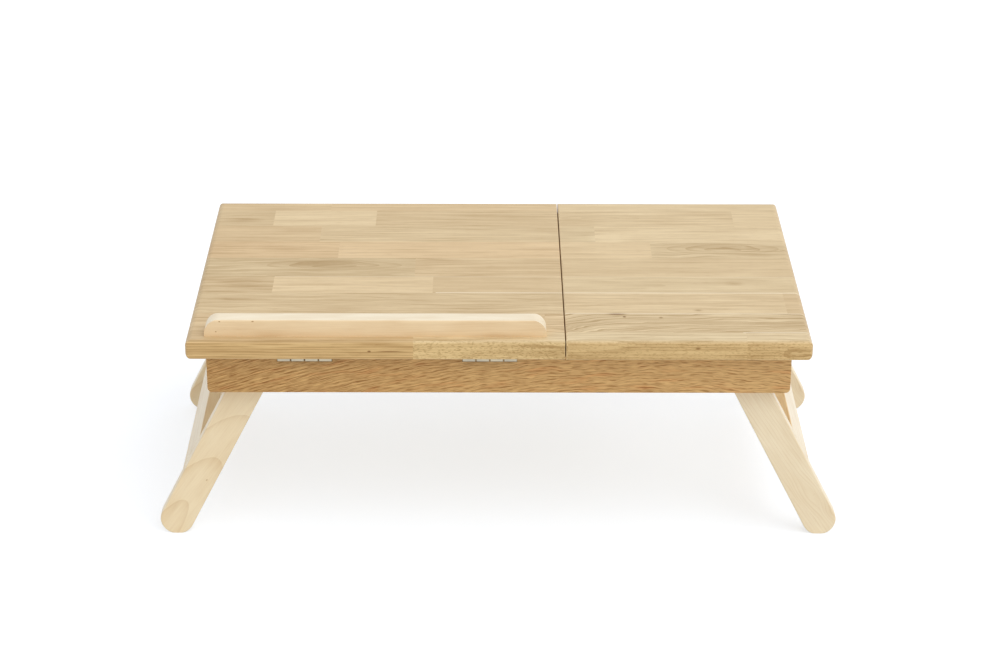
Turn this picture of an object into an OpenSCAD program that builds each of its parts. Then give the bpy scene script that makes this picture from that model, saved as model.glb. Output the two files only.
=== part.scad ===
// Folding laptop table: a tilting board with a stop ledge on the left, a fixed board with a
// drawer under it on the right, and two pairs of legs that fold inward under the frame.
// Frame: +X right, +Y to the rear, +Z up. Origin on the floor, under the middle of the top.

/* [Table top] */
// Width of the whole top, left to right
top_w = 575; // [540:1:640]
// Depth of the top, front to back
top_d = 340; // [310:1:400]
// Height of the top surface above the floor
table_h = 216; // [190:1:236]
// Thickness of the two boards
board_t = 19; // [16:0.5:24]
// Width of the tilting board
tilt_w = 348; // [320:1:370]
// Gap between the two boards
split_gap = 0.8; // [0.6:0.1:3]
// Radius along the upper front and rear edges
upper_edge_r = 4; // [2:0.5:7]
// Radius along the lower front and rear edges
lower_edge_r = 1.5; // [1:0.5:5]
// Radius along the upper edges of the two ends
upper_end_r = 6; // [2:0.5:8]
// Radius along the lower edges of the two ends
lower_end_r = 6.5; // [2:0.5:8]
// Radius along the edges that face the gap
split_edge_r = 0.8; // [0.4:0.1:2]
// Radius of the outer corners, seen from above
plan_corner_r = 3; // [2:0.5:8]
// Clearance under the tilting board when it is down
tilt_rest_gap = 0.3; // [0.3:0.1:1]

/* [Frame] */
// How far the long rails stand back from the edges of the top
rail_setback = 9.5; // [8:0.5:14]
// How far the boards overhang the ends of the rails
end_overhang = 18; // [16:1:26]
// Height of the rails
rail_h = 38; // [36:1:46]
// Thickness of the rails
rail_t = 18; // [16:0.5:20]
// Radius of the lower end corners of the long rails
rail_corner_r = 5; // [2:0.5:8]
// Rounding along the lower edges of the rails
rail_edge_r = 1; // [0.5:0.5:2]
// Thickness of the two guide rails beside the drawer
guide_t = 12; // [10:0.5:14]
// Clearance between a guide rail and the leg beside it
guide_gap = 2; // [1:0.5:4]
// Thickness of the centre divider
divider_t = 18; // [12:1:22]
// Thickness of the base panel
base_t = 3; // [3:0.5:4]
// Diameter of the dowels at the corners of the frame
corner_dowel_d = 8; // [6:1:8]
// Depth of a corner dowel in the long rail
dowel_in_rail = 12; // [10:1:14]
// Depth of a corner dowel in the side rail
dowel_in_side = 20; // [15:1:25]
// Diameter of the small dowels
small_dowel_d = 6; // [5:1:6]
// Length of the small dowels in the frame
small_dowel_l = 20; // [16:1:20]
// Depth of a divider dowel in the guide rail
dowel_in_guide = 8; // [6:0.5:9]
// Distance from each edge of the left side rail to the middle of its dowels
corner_dowel_inset = 11; // [9:0.5:14]
// Distance from the side rails to the first base panel screws
panel_screw_inset = 24; // [18:1:32]
// Distance from the guide rails to the divider's screws
divider_screw_inset = 50; // [30:1:70]

/* [Legs] */
// Width of a leg
leg_w = 32; // [28:1:34]
// Thickness of a leg
leg_t = 15; // [14:0.5:18]
// Angle of the opened legs from vertical
leg_splay = 27; // [20:0.5:30]
// Height of the leg pivots above the lower edge of the rails
pivot_rise = 14; // [14:0.5:18]
// Depth of the flat under each rounded foot
foot_flat = 1.3; // [0.6:0.1:2]
// Rounding along the edges of a leg
leg_edge_r = 1.5; // [0.5:0.5:3]
// Gap between a leg and the long rail it turns beside
leg_side_gap = 1.5; // [1.2:0.1:2.5]
// Clearance between an opened leg and the side rail that stops it
leg_stop_gap = 0.3; // [0.3:0.1:1]
// Width of a stretcher along the leg
stretcher_w = 39; // [30:1:44]
// Thickness of a stretcher
stretcher_t = 12; // [10:0.5:13]
// Distance from the left pivots to the left stretcher
left_stretcher_at = 94.5; // [60:0.5:110]
// Distance from the right pivots to the right stretcher
right_stretcher_at = 83.5; // [60:0.5:110]
// Rounding along the edges of a stretcher
stretcher_edge_r = 1; // [0.5:0.5:2]
// Clearance between a folded stretcher and the base panel
stretcher_gap = 0.5; // [0.5:0.1:2]
// Depth of a stretcher dowel in the leg
dowel_in_leg = 10; // [8:1:11]
// Depth of a stretcher dowel in the stretcher
dowel_in_stretcher = 18; // [12:1:25]
// Distance from each edge of a stretcher to the middle of its dowels
stretcher_dowel_inset = 10; // [8:0.5:12]

/* [Leg pivots] */
// Diameter of the bolt's shoulder
shoulder_d = 8; // [6:1:10]
// Radial clearance of the shoulder in the leg
pivot_clearance = 0.05; // [0.02:0.01:0.1]
// Diameter of the bolt's thread
bolt_thread_d = 6; // [5:1:6]
// Diameter of the bolt's head
bolt_head_d = 13; // [11:0.5:15]
// Thickness of the bolt's head
bolt_head_t = 3.8; // [3:0.2:5]
// Width across the flats of the hexagon socket
socket_af = 4; // [3:0.5:5]
// Depth of the hexagon socket
socket_depth = 2.4; // [1.5:0.1:2.8]
// Depth of the head below the leg's inner face
head_recess = 0.2; // [0.1:0.1:1]
// Clearance round and under the bolt's head
head_clearance = 0.4; // [0.3:0.1:1]
// Diameter of the brass thread insert
insert_d = 9; // [8:0.5:10]
// Length of the brass thread insert
insert_l = 12; // [10:0.5:13]
// Outside diameter of the washer between leg and rail
washer_d = 18; // [14:1:22]
// Thickness of that washer
washer_t = 1.2; // [0.8:0.1:1.2]

/* [Hinges] */
// Length of a butt hinge
hinge_l = 51; // [40:1:60]
// Width of a leaf, from the pin's axis
leaf_w = 17; // [14:0.5:17]
// Thickness of a leaf
leaf_t = 1; // [0.8:0.1:1.2]
// Clearance between the closed leaves
leaf_gap = 0.3; // [0.2:0.1:0.5]
// Rounding of a leaf's free corners
leaf_corner_r = 2; // [1:0.5:4]
// Diameter of the barrel
barrel_d = 6.4; // [4:0.2:6.6]
// Diameter of the hinge pin
pin_d = 2.4; // [1.8:0.1:2.6]
// Radial clearance of the pin in the turning knuckles
pin_clearance = 0.05; // [0.02:0.01:0.1]
// Gap between two knuckles, and between a knuckle and the leaf beside it
knuckle_gap = 0.6; // [0.3:0.1:0.8]
// Gap between the barrel and the front rail
barrel_gap = 0.5; // [0.3:0.1:1]
// Clearance round the barrel in the tilting board
barrel_clearance = 0.4; // [0.3:0.1:0.8]
// Clearance round the leaves in their mortise
mortise_gap = 0.3; // [0.2:0.05:0.5]
// From the outer end of the tilting board to the middle of the left hinge
left_hinge_at = 109; // [90:1:130]
// From the split to the middle of the right hinge
right_hinge_at = 69; // [60:1:95]
// Distance between the screws of one leaf
hinge_screw_pitch = 17; // [14:0.5:18]
// Distance from the pin's axis to the screws
hinge_screw_at = 10; // [8:0.5:11]
// Diameter of the hinge screws
hinge_screw_d = 3; // [2.5:0.5:3]
// Length of the hinge screws
hinge_screw_l = 13; // [10:1:14]

/* [Stop ledge] */
// Height of the ledge above the board
ledge_h = 16.5; // [12:0.5:22]
// Thickness of the ledge, front to back
ledge_t = 17; // [12:0.5:20]
// Distance from the front edge of the board to the ledge
ledge_setback = 9.8; // [8:0.1:20]
// Distance from each end of the tilting board to the ledge
ledge_end_gap = 17; // [10:1:40]
// Radius of the ledge's upper end corners
ledge_corner_r = 14; // [4:0.5:14]
// Rounding along the ledge's upper edges
ledge_edge_r = 2; // [1:0.5:3]
// Length of a ledge dowel, half of it in the board
ledge_dowel_l = 18; // [12:1:18]
// Distance from each end of the ledge to its outer dowels
ledge_dowel_inset = 20; // [12:1:40]

/* [Prop] */
// Distance from the hinge axis to the prop's pivot
prop_pivot_at = 120; // [105:1:125]
// Distance between the middles of the prop's arms
prop_w = 140; // [110:1:180]
// Width and height of a prop arm
prop_arm = 12; // [10:0.5:12]
// Clearance between the prop arms and the tilting board
prop_gap = 0.5; // [0.5:0.1:1]
// Clearance between the prop's foot and the rear guide rail
prop_end_gap = 9.5; // [4:0.5:14]
// Greatest tilt of the board
tilt_max = 35; // [30:1:38]
// Tilts at which the foot bar drops into a notch
notch_tilts = [12, 20, 27, 34];
// Diameter of the prop's pivot pins
prop_pin_d = 5; // [4:0.5:6]
// Thickness of a prop bracket
bracket_t = 14; // [12:0.5:18]
// Length of a prop bracket, front to back
bracket_l = 30; // [24:1:40]
// Height of a prop bracket
bracket_h = 13; // [11:0.5:13]
// Distance from the pivot pin to the bracket's screws
bracket_screw_at = 10; // [8:0.5:11]
// Depth of the bracket screws in the board
bracket_screw_in = 9; // [6:0.5:11]
// Side clearance between an arm and its bracket
arm_side_gap = 0.6; // [0.5:0.1:1]
// Diameter of the foot bar and of the crossbar
prop_bar_d = 7; // [6:0.5:7]
// Depth of the crossbar in each arm
crossbar_in_arm = 6; // [4:0.5:8]
// Height of the notched racks
rack_h = 6.5; // [5:0.5:6.5]
// Width of the notched racks
rack_w = 12; // [10:0.5:16]
// Depth of a notch
notch_depth = 3; // [2:0.5:3]
// Clearance of the foot bar in a notch
notch_clearance = 0.15; // [0.1:0.05:0.3]
// Clearance between the foot bar and the tips of the rack
foot_lift = 0.5; // [0.5:0.1:1]
// Length of rack beyond its outer notches
rack_end = 8; // [6:0.5:12]

/* [Drawer] */
// Thickness of the drawer front
front_t = 16; // [14:0.5:18]
// Gap round the drawer front
front_gap = 0.8; // [0.5:0.1:1.5]
// Thickness of the drawer's sides and back
side_t = 9; // [7:0.5:10]
// Clearance between the drawer and its guides
drawer_side_gap = 0.5; // [0.4:0.1:1]
// Clearance between the drawer and the divider
drawer_back_gap = 1; // [0.5:0.1:3]
// Clearance between the drawer and the base panel
drawer_base_gap = 0.5; // [0.4:0.1:1]
// Clearance between the drawer box and the fixed board
drawer_top_gap = 3; // [1:0.5:5]
// Thickness of the drawer bottom
bottom_t = 3; // [3:0.5:4]
// Height of the groove for the bottom above the lower edge
groove_rise = 2; // [2:0.5:3]
// Depth of the groove for the bottom
groove_depth = 4; // [3:0.5:5]
// Rounding along the upper edges of the drawer's sides and back
drawer_edge_r = 1.5; // [0.5:0.5:3]
// Length of the drawer's dowels
drawer_dowel_l = 20; // [16:1:22]
// Depth of the dowels in the drawer front
dowel_in_front = 8; // [6:0.5:10]
// Diameter of the dowels in the drawer's back
back_dowel_d = 5; // [4:0.5:5]
// Diameter of the knob
knob_d = 18; // [14:1:18]
// How far the knob stands out
knob_l = 14; // [11:0.5:14]
// Diameter of the knob's neck
knob_neck_d = 10; // [8:0.5:11]
// Length of the knob's domed head
knob_head_l = 7; // [5:0.5:8]
// Diameter of the knob screw
knob_screw_d = 4; // [3:0.5:4]
// Depth of the knob screw in the knob
knob_screw_in = 9; // [6:0.5:9]
// Diameter of the knob screw's pan head
knob_screw_head_d = 8; // [7:0.5:9]
// Thickness of that head
knob_screw_head_t = 2.4; // [2:0.2:3]

/* [Wood screws] */
// Diameter of the base panel screws
panel_screw_d = 3; // [2.5:0.5:3.5]
// Length of the base panel screws
panel_screw_l = 16; // [12:1:20]
// Diameter of the fixed board's screws
board_screw_d = 4; // [3.5:0.5:4.5]
// Depth of those screws in the board
board_screw_in = 12; // [9:0.5:13]
// Distance from those screws to the base panel screws beside them
board_screw_offset = 32; // [20:1:36]
// Head of a countersunk screw, as a share of its diameter
head_ratio = 1.9; // [1.7:0.05:2]
// Depth of the cross slot in a screw head, as a share of its diameter
slot_ratio = 0.35; // [0.2:0.05:0.4]

/* [Hidden] */
$fn = 64;
// Amount by which cutting shapes run past a face
over = 1;

// Places along X
left_end = -top_w / 2;
right_end = top_w / 2;
tilt_right = left_end + tilt_w;
fixed_left = tilt_right + split_gap;
rail_end_x = right_end - end_overhang;
side_inner_x = rail_end_x - rail_t;
divider_x = (tilt_right + fixed_left) / 2;
divider_right = divider_x + divider_t / 2;
divider_left = divider_x - divider_t / 2;
panel_screw_end = side_inner_x - panel_screw_inset;
panel_screw_xs = [for (i = [-3 : 2 : 3]) i / 3 * panel_screw_end];

// Places along Y, as distances from the middle
rail_outer_y = top_d / 2 - rail_setback;
rail_inner_y = rail_outer_y - rail_t;
leg_outer_y = rail_inner_y - leg_side_gap;
leg_inner_y = leg_outer_y - leg_t;
guide_outer_y = leg_inner_y - guide_gap;
guide_inner_y = guide_outer_y - guide_t;
guide_mid_y = (guide_inner_y + guide_outer_y) / 2;

// Heights
rail_top = table_h - board_t;
rail_bottom = rail_top - rail_h;
pivot_z = rail_bottom + pivot_rise;
base_bottom = pivot_z - leg_w / 2 + stretcher_t + stretcher_gap;
base_top = base_bottom + base_t;
guide_mid_z = (base_top + rail_top) / 2;
tilt_under = rail_top + tilt_rest_gap;

// Legs: the outer edge of an opened leg stands on the inner lower corner of the side rail
pivot_x = side_inner_x - (leg_w / 2 + leg_stop_gap) / cos(leg_splay) - pivot_rise * tan(leg_splay);
foot_z = leg_w / 2 - foot_flat;
leg_l = (pivot_z - foot_z) / cos(leg_splay);

// Hinge axis
hinge_y = -rail_outer_y - barrel_gap - barrel_d / 2;
hinge_z = tilt_under - leaf_t - leaf_gap / 2;
hinge_xs = [left_end + left_hinge_at, tilt_right - right_hinge_at];
knuckle_count = 4;
knuckle_pitch = hinge_l / knuckle_count;
mortise_depth = rail_top - (hinge_z - leaf_gap / 2 - leaf_t);

// Prop, seen from the side: its pivot hangs under the board, its foot lies over the racks
prop_x = (left_end + tilt_right) / 2;
prop_drop = tilt_under - prop_gap - prop_arm / 2 - hinge_z;
rack_top = base_top + rack_h;
foot_z_high = rack_top + foot_lift + prop_bar_d / 2;
foot_z_seated = rack_top - notch_depth + notch_clearance + prop_bar_d / 2;
prop_pivot_y = hinge_y + prop_pivot_at;
prop_pivot_z = hinge_z + prop_drop;
prop_foot_y = guide_inner_y - prop_end_gap - prop_arm / 2;
prop_slope = atan((prop_pivot_z - foot_z_high) / (prop_foot_y - prop_pivot_y));
prop_l = (prop_foot_y - prop_pivot_y) / cos(prop_slope);
bracket_x = prop_w / 2 + prop_arm / 2 + arm_side_gap + bracket_t / 2;

// Height of the prop's pivot, and its distance along Y, with the board tilted by t
function pivot_height(t) = hinge_z + prop_pivot_at * sin(t) + prop_drop * cos(t);
function pivot_reach(t) = hinge_y + prop_pivot_at * cos(t) - prop_drop * sin(t);
// Where the foot bar stands on the racks, with the board tilted by t
function notch_y(t) = pivot_reach(t) + sqrt(prop_l ^ 2 - (pivot_height(t) - foot_z_seated) ^ 2);
notch_ys = [for (t = notch_tilts) notch_y(t)];
rack_front = min(notch_ys) - rack_end;
rack_rear = max(notch_ys) + rack_end;

// Drawer
front_z0 = base_top + front_gap;
front_h = rail_top - front_gap - front_z0;
front_half = rail_inner_y - front_gap;
box_front_x = rail_end_x - front_t;
box_back_x = divider_right + drawer_back_gap;
box_half = guide_inner_y - drawer_side_gap;
box_z0 = base_top + drawer_base_gap;
box_h = rail_top - drawer_top_gap - box_z0;
drawer_mid_z = front_z0 + front_h / 2;

// Lengths of the screws that join two pieces
board_screw_l = rail_top - base_top + board_screw_in;
bracket_screw_l = bracket_h + bracket_screw_in;

// Ledge
ledge_x0 = left_end + ledge_end_gap;
ledge_l = tilt_w - 2 * ledge_end_gap;
ledge_front_y = -top_d / 2 + ledge_setback;

// Colours
oak = [0.86, 0.74, 0.56];
dark_oak = [0.72, 0.56, 0.36];
maple = [0.91, 0.83, 0.68];
ply = [0.87, 0.79, 0.64];
dowel_wood = [0.80, 0.68, 0.48];
steel = [0.74, 0.74, 0.75];
brass = [0.80, 0.66, 0.35];

// ---- Shared shapes ----

// What a quarter disc of radius r leaves of its square, at the origin
module corner_waste(r) {
    if (r > 0) difference() {
        translate([-over, -over]) square(r + over);
        translate([r, r]) circle(r);
    }
}

// Rectangle from the origin; radii run anticlockwise from the corner at the origin
module rounded_rect(w, h, radii) {
    difference() {
        square([w, h]);
        corner_waste(radii[0]);
        translate([w, 0]) rotate(90) corner_waste(radii[1]);
        translate([w, h]) rotate(180) corner_waste(radii[2]);
        translate([0, h]) rotate(270) corner_waste(radii[3]);
    }
}

// Bar along X or Y whose section is the child shape
module along_x(l) { rotate([90, 0, 90]) linear_extrude(l) children(); }
module along_y(l) { translate([0, l, 0]) rotate([90, 0, 0]) linear_extrude(l) children(); }

// Round rod from the origin along X or Y
module rod_x(d, l) { rotate([0, 90, 0]) cylinder(d = d, h = l); }
module rod_y(d, l) { rotate([-90, 0, 0]) cylinder(d = d, h = l); }

// Countersunk screw, head flush with z = 0, pointing up; whole leaves out the cross slot
module wood_screw(d, l, whole = false) {
    head_d = d * head_ratio;
    head_h = (head_d - d) / 2;
    difference() {
        union() {
            cylinder(d1 = head_d, d2 = d, h = head_h);
            translate([0, 0, head_h]) cylinder(d = d, h = l - head_h - d);
            translate([0, 0, l - d]) cylinder(d1 = d, d2 = d / 4, h = d);
        }
        if (!whole) {
            for (a = [0, 90]) rotate(a) translate([-d / 2, -d / 10, -over])
                cube([d, d / 5, over + d * slot_ratio]);
        }
    }
}

// Both sides of the middle plane y = 0
module front_and_rear() {
    children();
    mirror([0, 1, 0]) children();
}

// ---- Table top ----

// Slab from x0 to x1 across the whole depth; left_r and right_r are [lower, upper] edge radii
module top_slab(x0, x1, z0, t, left_r, right_r, left_plan_r, right_plan_r) {
    w = x1 - x0;
    intersection() {
        translate([x0, -top_d / 2, z0]) along_x(w)
            rounded_rect(top_d, t, [lower_edge_r, lower_edge_r, upper_edge_r, upper_edge_r]);
        translate([x0, -top_d / 2, z0]) along_y(top_d)
            rounded_rect(w, t, [left_r[0], right_r[0], right_r[1], left_r[1]]);
        translate([x0, -top_d / 2, z0]) linear_extrude(t)
            rounded_rect(w, top_d, [left_plan_r, right_plan_r, right_plan_r, left_plan_r]);
    }
}

module tilt_board() {
    color(oak) difference() {
        top_slab(left_end, tilt_right, tilt_under, table_h - tilt_under,
            [lower_end_r, upper_end_r], [split_edge_r, split_edge_r],
            plan_corner_r, split_edge_r);
        for (x = hinge_xs) translate([x - hinge_l / 2 - knuckle_gap, hinge_y, hinge_z])
            rod_x(barrel_d + 2 * barrel_clearance, hinge_l + 2 * knuckle_gap);
        ledge_dowel_places() cylinder(d = small_dowel_d, h = ledge_dowel_l);
        upper_screw_places() wood_screw(hinge_screw_d, hinge_screw_l, true);
        bracket_screw_places() wood_screw(panel_screw_d, bracket_screw_l, true);
    }
}

module fixed_board() {
    color(oak) difference() {
        top_slab(fixed_left, right_end, rail_top, board_t,
            [split_edge_r, split_edge_r], [lower_end_r, upper_end_r],
            split_edge_r, plan_corner_r);
        board_screw_places() wood_screw(board_screw_d, board_screw_l, true);
    }
}

module stop_ledge() {
    color(maple) difference() {
        intersection() {
            translate([ledge_x0, ledge_front_y, table_h]) along_y(ledge_t)
                rounded_rect(ledge_l, ledge_h, [0, 0, ledge_corner_r, ledge_corner_r]);
            translate([ledge_x0, ledge_front_y, table_h]) along_x(ledge_l)
                rounded_rect(ledge_t, ledge_h, [0, 0, ledge_edge_r, ledge_edge_r]);
        }
        ledge_dowel_places() cylinder(d = small_dowel_d, h = ledge_dowel_l);
    }
}

module ledge_dowel_places() {
    inset = ledge_dowel_inset;
    for (x = [ledge_x0 + inset, ledge_x0 + ledge_l / 2, ledge_x0 + ledge_l - inset])
        translate([x, ledge_front_y + ledge_t / 2, table_h - ledge_dowel_l / 2]) children();
}

module ledge_dowels() {
    color(dowel_wood) ledge_dowel_places() cylinder(d = small_dowel_d, h = ledge_dowel_l);
}

// ---- Frame ----

// Long rail on the front side, without its cuts
module long_rail_blank() {
    l = 2 * rail_end_x;
    intersection() {
        translate([-rail_end_x, -rail_outer_y, rail_bottom]) along_y(rail_t)
            rounded_rect(l, rail_h, [rail_corner_r, rail_corner_r, 0, 0]);
        translate([-rail_end_x, -rail_outer_y, rail_bottom]) along_x(l)
            rounded_rect(rail_t, rail_h, [rail_edge_r, rail_edge_r, 0, 0]);
    }
}

// Holes on the front side for the corner dowels and the thread inserts
module long_rail_holes() {
    corner_dowel_places() rod_y(corner_dowel_d, dowel_in_rail + dowel_in_side);
    for (x = [-pivot_x, pivot_x]) translate([x, -rail_inner_y - insert_l, pivot_z])
        rod_y(insert_d, insert_l + over);
}

module front_rail() {
    color(dark_oak) difference() {
        long_rail_blank();
        long_rail_holes();
        for (x = hinge_xs) translate([x - hinge_l / 2 - mortise_gap, -rail_outer_y - over, rail_top])
            mirror([0, 0, 1]) translate([0, 0, -over])
            cube([hinge_l + 2 * mortise_gap, over + hinge_y + leaf_w + mortise_gap + rail_outer_y,
                mortise_depth + over]);
        lower_screw_places() wood_screw(hinge_screw_d, hinge_screw_l, true);
    }
}

module rear_rail() {
    color(dark_oak) mirror([0, 1, 0]) difference() {
        long_rail_blank();
        long_rail_holes();
    }
}

// Cross rail from the front rail to the rear rail, on the right; h is its height
module cross_rail(h) {
    translate([side_inner_x, -rail_inner_y, rail_bottom]) along_y(2 * rail_inner_y)
        rounded_rect(rail_t, h, [rail_edge_r, rail_edge_r, 0, 0]);
}

module left_side_rail() {
    color(dark_oak) difference() {
        mirror([1, 0, 0]) cross_rail(rail_h);
        front_and_rear() corner_dowel_places() rod_y(corner_dowel_d, dowel_in_rail + dowel_in_side);
        guide_dowel_places() rod_x(small_dowel_d, small_dowel_l);
    }
}

module right_cross_rail() {
    color(dark_oak) difference() {
        cross_rail(base_top - rail_bottom);
        front_and_rear() corner_dowel_places() rod_y(corner_dowel_d, dowel_in_rail + dowel_in_side);
    }
}

// Corner dowels of the front side: two at the left, one in the low rail at the right
module corner_dowel_places() {
    side_mid_x = side_inner_x + rail_t / 2;
    places = [
        [-side_mid_x, rail_bottom + corner_dowel_inset],
        [-side_mid_x, rail_top - corner_dowel_inset],
        [side_mid_x, (rail_bottom + base_top) / 2]
    ];
    for (p = places) translate([p[0], -rail_inner_y - dowel_in_rail, p[1]]) children();
}

// Dowels from the left side rail into the guide rails
module guide_dowel_places() {
    for (y = [-guide_mid_y, guide_mid_y])
        translate([-side_inner_x - small_dowel_l / 2, y, guide_mid_z]) children();
}

// Dowel on the front side from the guide rail into the divider
module divider_dowel_place() {
    translate([divider_x, -guide_inner_y - dowel_in_guide, guide_mid_z]) children();
}

// Guide rail on the front side
module guide_rail() {
    difference() {
        translate([-side_inner_x, -guide_outer_y, base_top])
            cube([2 * side_inner_x, guide_t, rail_top - base_top]);
        guide_dowel_places() rod_x(small_dowel_d, small_dowel_l);
        divider_dowel_place() rod_y(small_dowel_d, small_dowel_l);
        board_screw_places() wood_screw(board_screw_d, board_screw_l, true);
        panel_screw_places() wood_screw(panel_screw_d, panel_screw_l, true);
    }
}

module front_guide_rail() { color(ply) guide_rail(); }
module rear_guide_rail() { color(ply) mirror([0, 1, 0]) guide_rail(); }

module centre_divider() {
    color(ply) difference() {
        translate([divider_left, -guide_inner_y, base_top])
            cube([divider_t, 2 * guide_inner_y, rail_top - base_top]);
        front_and_rear() divider_dowel_place() rod_y(small_dowel_d, small_dowel_l);
        panel_screw_places() wood_screw(panel_screw_d, panel_screw_l, true);
    }
}

module base_panel() {
    color(ply) difference() {
        translate([-side_inner_x, -guide_outer_y, base_bottom])
            cube([2 * side_inner_x, 2 * guide_outer_y, base_t]);
        panel_screw_places() wood_screw(panel_screw_d, panel_screw_l, true);
    }
}

module frame_dowels() {
    color(dowel_wood) {
        front_and_rear() corner_dowel_places() rod_y(corner_dowel_d, dowel_in_rail + dowel_in_side);
        guide_dowel_places() rod_x(small_dowel_d, small_dowel_l);
        front_and_rear() divider_dowel_place() rod_y(small_dowel_d, small_dowel_l);
    }
}

// Screws up through the base panel: four in each guide rail and one near each end of the divider
module panel_screw_places() {
    for (x = panel_screw_xs, y = [-guide_mid_y, guide_mid_y])
        translate([x, y, base_bottom]) children();
    for (y = [-1, 1])
        translate([divider_x, y * (guide_inner_y - divider_screw_inset), base_bottom]) children();
}

module panel_screws() { color(steel) panel_screw_places() wood_screw(panel_screw_d, panel_screw_l); }

// Screws up through the guide rails into the fixed board, their heads over the base panel
module board_screw_places() {
    for (x = [panel_screw_xs[2] + board_screw_offset, panel_screw_xs[3] - board_screw_offset])
        for (y = [-guide_mid_y, guide_mid_y]) translate([x, y, base_top]) children();
}

module board_screws() { color(steel) board_screw_places() wood_screw(board_screw_d, board_screw_l); }

// ---- Legs ----

// Section of a leg, its width along X and its thickness to +Y
module leg_section() {
    translate([-leg_w / 2, 0])
        rounded_rect(leg_w, leg_t, [leg_edge_r, leg_edge_r, leg_edge_r, leg_edge_r]);
}

// Leg along -Z from its pivot at the origin, with a round end about the pivot and at the foot;
// its outer edge is at -X
module leg_blank() {
    translate([0, 0, -leg_l]) linear_extrude(leg_l) leg_section();
    for (z = [0, -leg_l]) translate([0, 0, z]) rotate([-90, 0, 0]) rotate_extrude()
        intersection() {
            leg_section();
            square([leg_w / 2, leg_t]);
        }
}

// Puts a shape drawn in the leg's own lines at the front left leg
module at_left_leg() {
    translate([-pivot_x, -leg_outer_y, pivot_z]) rotate([0, leg_splay, 0]) children();
}

// Front left leg; at is the distance from the pivot to the stretcher
module front_leg(at) {
    recess = bolt_head_t + head_recess + head_clearance;
    difference() {
        at_left_leg() difference() {
            leg_blank();
            translate([0, -over, 0]) rod_y(shoulder_d + 2 * pivot_clearance, leg_t + 2 * over);
            translate([0, leg_t - recess, 0]) rod_y(bolt_head_d + 2 * head_clearance, recess + over);
        }
        stretcher_dowel_places(at) rod_y(small_dowel_d, dowel_in_leg + dowel_in_stretcher);
        translate([-top_w, -top_d, -leg_w]) cube([top_w, top_d, leg_w]);
    }
}

// Stretcher of the left pair, flush with the outer edges of its legs
module stretcher(at) {
    difference() {
        at_left_leg() translate([-leg_w / 2, leg_t, -at - stretcher_w]) along_y(2 * leg_inner_y)
            rounded_rect(stretcher_t, stretcher_w,
                [stretcher_edge_r, stretcher_edge_r, stretcher_edge_r, stretcher_edge_r]);
        front_and_rear() stretcher_dowel_places(at)
            rod_y(small_dowel_d, dowel_in_leg + dowel_in_stretcher);
    }
}

module stretcher_dowel_places(at) {
    for (down = [stretcher_dowel_inset, stretcher_w - stretcher_dowel_inset]) at_left_leg()
        translate([-leg_w / 2 + stretcher_t / 2, leg_t - dowel_in_leg, -at - down]) children();
}

module stretcher_dowels(at) {
    front_and_rear() stretcher_dowel_places(at)
        rod_y(small_dowel_d, dowel_in_leg + dowel_in_stretcher);
}

module left_front_leg() { color(maple) front_leg(left_stretcher_at); }
module left_rear_leg() { color(maple) mirror([0, 1, 0]) front_leg(left_stretcher_at); }
module left_stretcher() { color(maple) stretcher(left_stretcher_at); }
module left_stretcher_dowels() { color(dowel_wood) stretcher_dowels(left_stretcher_at); }

module right_front_leg() { color(maple) mirror([1, 0, 0]) front_leg(right_stretcher_at); }
module right_rear_leg() {
    color(maple) mirror([1, 0, 0]) mirror([0, 1, 0]) front_leg(right_stretcher_at);
}
module right_stretcher() { color(maple) mirror([1, 0, 0]) stretcher(right_stretcher_at); }
module right_stretcher_dowels() {
    color(dowel_wood) mirror([1, 0, 0]) stretcher_dowels(right_stretcher_at);
}

// The four pivots: each child is drawn from the rail's inner face, running to +Y
module pivot_places() {
    for (x = [-pivot_x, pivot_x]) front_and_rear()
        translate([x, -rail_inner_y, pivot_z]) children();
}

// Shoulder bolt: thread in the insert, shoulder through the leg, head in the leg's recess
module pivot_bolts() {
    shoulder_l = leg_side_gap + leg_t - head_recess - bolt_head_t;
    color(steel) pivot_places() difference() {
        union() {
            translate([0, -insert_l, 0]) rod_y(bolt_thread_d, insert_l);
            rod_y(shoulder_d, shoulder_l);
            translate([0, shoulder_l, 0]) rod_y(bolt_head_d, bolt_head_t);
        }
        translate([0, shoulder_l + bolt_head_t - socket_depth, 0]) rotate([-90, 0, 0])
            cylinder(d = socket_af / cos(30), h = socket_depth + over, $fn = 6);
    }
}

module thread_inserts() {
    color(brass) pivot_places() translate([0, -insert_l, 0]) difference() {
        rod_y(insert_d, insert_l);
        translate([0, -over, 0]) rod_y(bolt_thread_d, insert_l + 2 * over);
    }
}

module pivot_washers() {
    color(steel) pivot_places() difference() {
        rod_y(washer_d, washer_t);
        translate([0, -over, 0]) rod_y(shoulder_d, washer_t + 2 * over);
    }
}

// ---- Hinges ----

// One leaf about a hinge axis along X, its plate above the axis and running to +Y;
// first is the number of its first knuckle, bore_d the hole for the pin
module leaf(first, bore_d) {
    knuckle_l = knuckle_pitch - knuckle_gap;
    plate_y = barrel_d / 2 + knuckle_gap;
    difference() {
        union() {
            translate([-hinge_l / 2, plate_y, leaf_gap / 2]) linear_extrude(leaf_t)
                rounded_rect(hinge_l, leaf_w - plate_y, [0, 0, leaf_corner_r, leaf_corner_r]);
            for (i = [first : 2 : knuckle_count - 1])
                translate([-hinge_l / 2 + i * knuckle_pitch + knuckle_gap / 2, 0, 0]) {
                    rod_x(barrel_d, knuckle_l);
                    translate([0, 0, leaf_gap / 2]) cube([knuckle_l, plate_y + over, leaf_t]);
                }
        }
        translate([-hinge_l / 2 - over, 0, 0]) rod_x(bore_d, hinge_l + 2 * over);
        leaf_screw_places() wood_screw(hinge_screw_d, hinge_screw_l, true);
    }
}

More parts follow.
